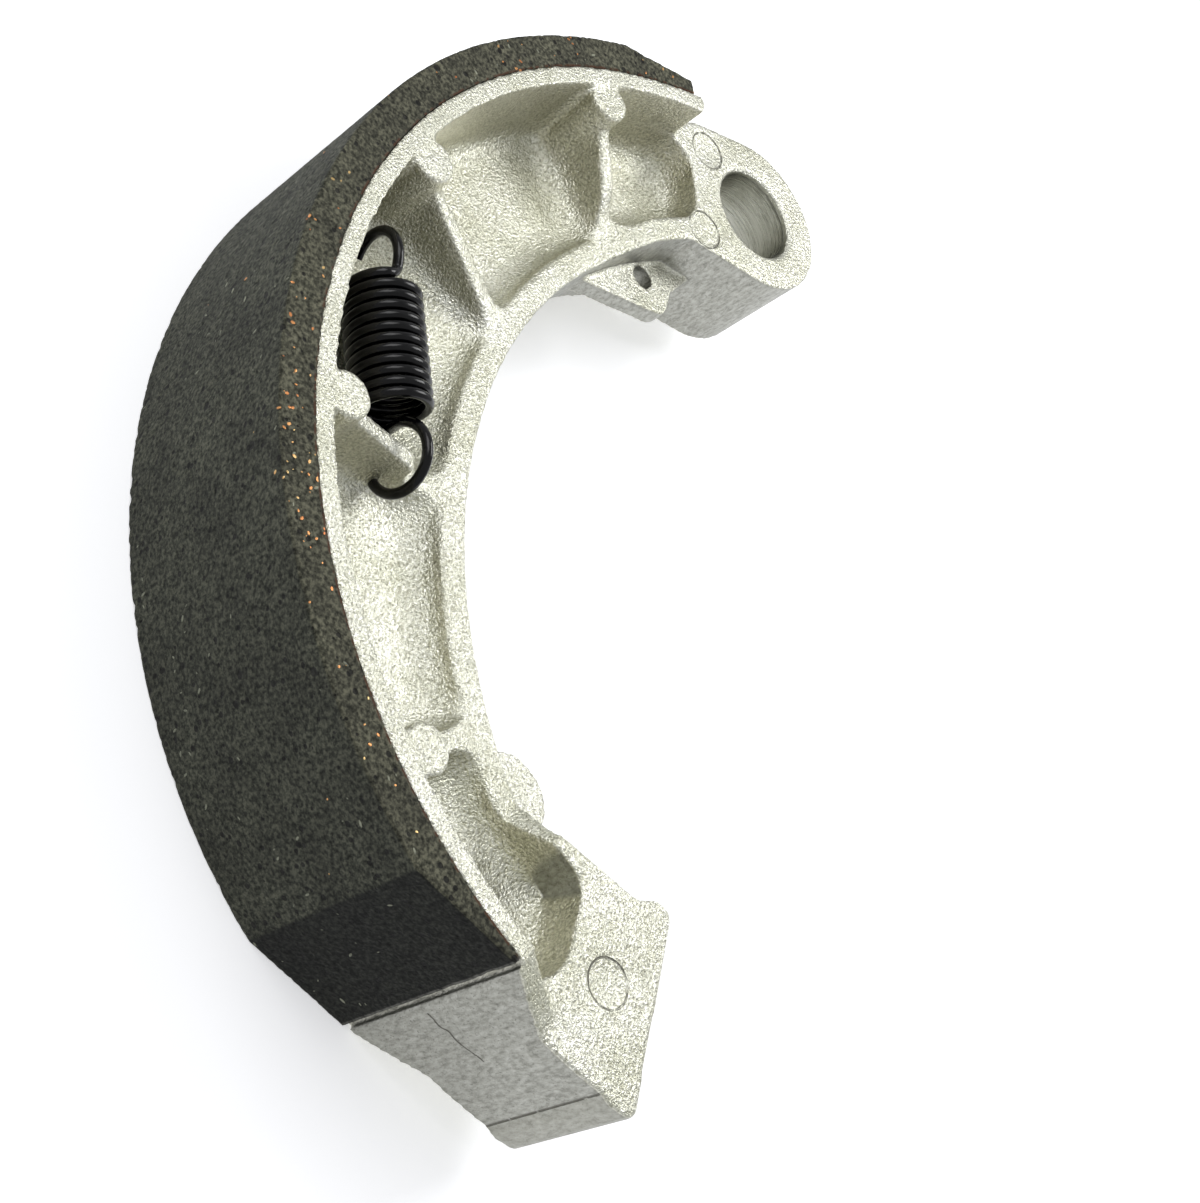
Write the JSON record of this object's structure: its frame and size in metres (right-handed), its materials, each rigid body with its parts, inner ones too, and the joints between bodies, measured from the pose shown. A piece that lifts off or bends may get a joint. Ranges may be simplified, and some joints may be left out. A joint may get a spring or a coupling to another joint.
{
  "type": "brake shoe",
  "caption": "Leading or trailing shoe of a small drum brake: ribbed cast arc with pivot eye, flat cam block, bonded curved lining and a spring laid in one recess.",
  "frame": {"origin": "on the axis of the pivot bore, halfway across the shoe's width", "axes": "+X along the brake's centre line from the cam end towards the pivot end, +Y from that line out to the lining, +Z along the pivot bore; the shoe lies flat on its -Z side"},
  "size_m": [0.1251, 0.0647, 0.0246],
  "materials": {
    "cast_aluminium": "rough as-cast",
    "lining_compound": "matte ground compound",
    "black_spring_wire": "black oxide, satin"
  },
  "bodies": {
    "root": {"shoe_casting": "cast_aluminium", "friction_lining": "lining_compound", "return_spring": "black_spring_wire"}
  },
  "joints": []
}
